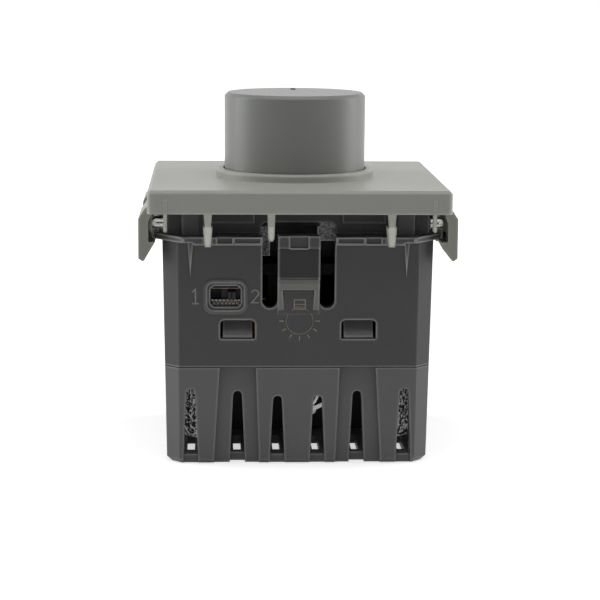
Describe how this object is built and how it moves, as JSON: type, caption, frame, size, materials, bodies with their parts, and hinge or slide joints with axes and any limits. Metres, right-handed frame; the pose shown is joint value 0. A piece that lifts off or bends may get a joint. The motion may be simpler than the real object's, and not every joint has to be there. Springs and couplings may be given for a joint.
{
  "type": "rotary light dimmer",
  "caption": "Two-module push and turn light dimmer with a square front plate, round knob, spring claws at both sides and screw terminals at the rear.",
  "frame": {"origin": "under the knob's axis, at the rear cover's lowest face", "axes": "+Z out of the wall along the knob's axis, +X to the right, +Y away from the side with the selector window"},
  "size_m": [0.048, 0.0452, 0.0554],
  "materials": {
    "plate_plastic": "light grey satin moulding",
    "knob_plastic": "mid grey satin moulding",
    "shaft_plastic": "natural acetal",
    "housing_plastic": "dark grey fine textured moulding",
    "frame_plastic": "near black moulding",
    "claw_plastic": "light grey moulding",
    "zinc_steel": "bright zinc plate",
    "spring_steel": "spring steel",
    "cast_aluminium": "rough cast",
    "switch_plastic": "black moulding",
    "board_laminate": "glass laminate",
    "ferrite": "pressed powder",
    "copper_wire": "enamelled copper",
    "capacitor_case": "resin case",
    "can_sleeve": "printed sleeve left bare",
    "fuse_glass": "glass tube",
    "lead_sleeve": "white sleeve",
    "tinned_brass": "tinned"
  },
  "bodies": {
    "housing": {"cover_plate": "plate_plastic", "upper_housing": "housing_plastic", "rear_cover": "housing_plastic", "inner_frame": "frame_plastic", "mounting_bridge": "zinc_steel", "bridge_screws": "zinc_steel", "heat_sink": "cast_aluminium", "potentiometer_body": "switch_plastic", "push_switch_body": "switch_plastic", "switch_spring": "spring_steel", "selector_body": "switch_plastic", "power_board": "board_laminate", "control_board": "board_laminate", "board_header": "switch_plastic", "power_transistors": "switch_plastic", "transistor_screws": "zinc_steel", "choke_core": "ferrite", "choke_winding": "copper_wire", "film_capacitor": "capacitor_case", "electrolytic_capacitor": "can_sleeve", "fuse": "fuse_glass", "jumper_leads": "lead_sleeve", "terminal_block": "switch_plastic", "terminal_bars": "tinned_brass"},
    "rotor": {"potentiometer_rotor": "frame_plastic"},
    "knob": {"knob": "knob_plastic", "knob_shaft": "shaft_plastic", "shaft_clip": "spring_steel"},
    "plunger": {"switch_plunger": "shaft_plastic"},
    "selector": {"selector_slider": "knob_plastic"},
    "claw_left": {"claw_left": "claw_plastic"},
    "claw_right": {"claw_right": "claw_plastic"},
    "screw_1": {"terminal_screw_1": "zinc_steel"},
    "cage_1": {"clamp_cage_1": "zinc_steel"},
    "screw_2": {"terminal_screw_2": "zinc_steel"},
    "cage_2": {"clamp_cage_2": "zinc_steel"},
    "screw_3": {"terminal_screw_3": "zinc_steel"},
    "cage_3": {"clamp_cage_3": "zinc_steel"}
  },
  "joints": [
    {"name": "knob_turn", "type": "hinge", "parent": "housing", "child": "rotor", "pos_m": [0, 0, 0.04], "axis": [0, 0, 1], "range_deg": [-140, 140]},
    {"name": "knob_push", "type": "slide", "parent": "rotor", "child": "knob", "axis": [0, 0, -1], "range_m": [0, 0.0012], "stiffness_N_per_m": 1500, "springref_m": -0.001},
    {"name": "plunger_slide", "type": "slide", "parent": "housing", "child": "plunger", "axis": [0, 0, -1], "range_m": [0, 0.0012], "deforming": ["switch_spring"]},
    {"name": "selector_slide", "type": "slide", "parent": "housing", "child": "selector", "axis": [1, 0, 0], "range_m": [-0.0017, 0]},
    {"name": "claw_left_flex", "type": "hinge", "parent": "housing", "child": "claw_left", "pos_m": [-0.0216, 0, 0.038], "axis": [0, -1, 0], "range_deg": [0, 5], "stiffness_Nm_per_rad": 0.85},
    {"name": "claw_right_flex", "type": "hinge", "parent": "housing", "child": "claw_right", "pos_m": [0.0216, 0, 0.038], "axis": [0, 1, 0], "range_deg": [0, 5], "stiffness_Nm_per_rad": 0.85},
    {"name": "terminal_1_turn", "type": "hinge", "parent": "housing", "child": "screw_1", "pos_m": [-0.0085, 0.0145, 0.0056], "axis": [0, -1, 0], "range_deg": [0, 1080]},
    {"name": "cage_1_rise", "type": "slide", "parent": "housing", "child": "cage_1", "axis": [0, 1, 0], "range_m": [0, 0.0015]},
    {"name": "terminal_2_turn", "type": "hinge", "parent": "housing", "child": "screw_2", "pos_m": [0, 0.0145, 0.0056], "axis": [0, -1, 0], "range_deg": [0, 1080]},
    {"name": "cage_2_rise", "type": "slide", "parent": "housing", "child": "cage_2", "axis": [0, 1, 0], "range_m": [0, 0.0015]},
    {"name": "terminal_3_turn", "type": "hinge", "parent": "housing", "child": "screw_3", "pos_m": [0.0085, 0.0145, 0.0056], "axis": [0, -1, 0], "range_deg": [0, 1080]},
    {"name": "cage_3_rise", "type": "slide", "parent": "housing", "child": "cage_3", "axis": [0, 1, 0], "range_m": [0, 0.0015]}
  ],
  "couplings": [
    {"joint": "plunger_slide", "follows": "knob_push", "ratio": 1},
    {"joint": "terminal_1_turn", "follows": "cage_1_rise", "rad_per_m": 12566},
    {"joint": "terminal_2_turn", "follows": "cage_2_rise", "rad_per_m": 12566},
    {"joint": "terminal_3_turn", "follows": "cage_3_rise", "rad_per_m": 12566}
  ]
}
